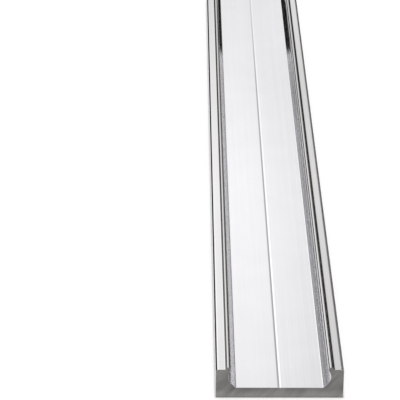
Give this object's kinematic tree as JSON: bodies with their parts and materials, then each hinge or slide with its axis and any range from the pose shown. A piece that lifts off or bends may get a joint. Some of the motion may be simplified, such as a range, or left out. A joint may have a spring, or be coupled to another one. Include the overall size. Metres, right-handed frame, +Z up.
{
  "type": "linear guide rail",
  "caption": "Length of extruded aluminium channel with a beaded lip and a hollow raceway along each inner side, as the rail of a sliding carriage.",
  "frame": {"origin": "middle of the back face, on the surface that the rail lies on", "axes": "+Y along the rail, +Z up out of the open channel, +X across"},
  "size_m": [0.056, 0.5, 0.0151],
  "materials": {
    "rail": "mill-finish extrusion with fine lengthwise die lines, bare saw-cut ends"
  },
  "bodies": {
    "root": {"guide_rail": "rail"}
  },
  "joints": []
}
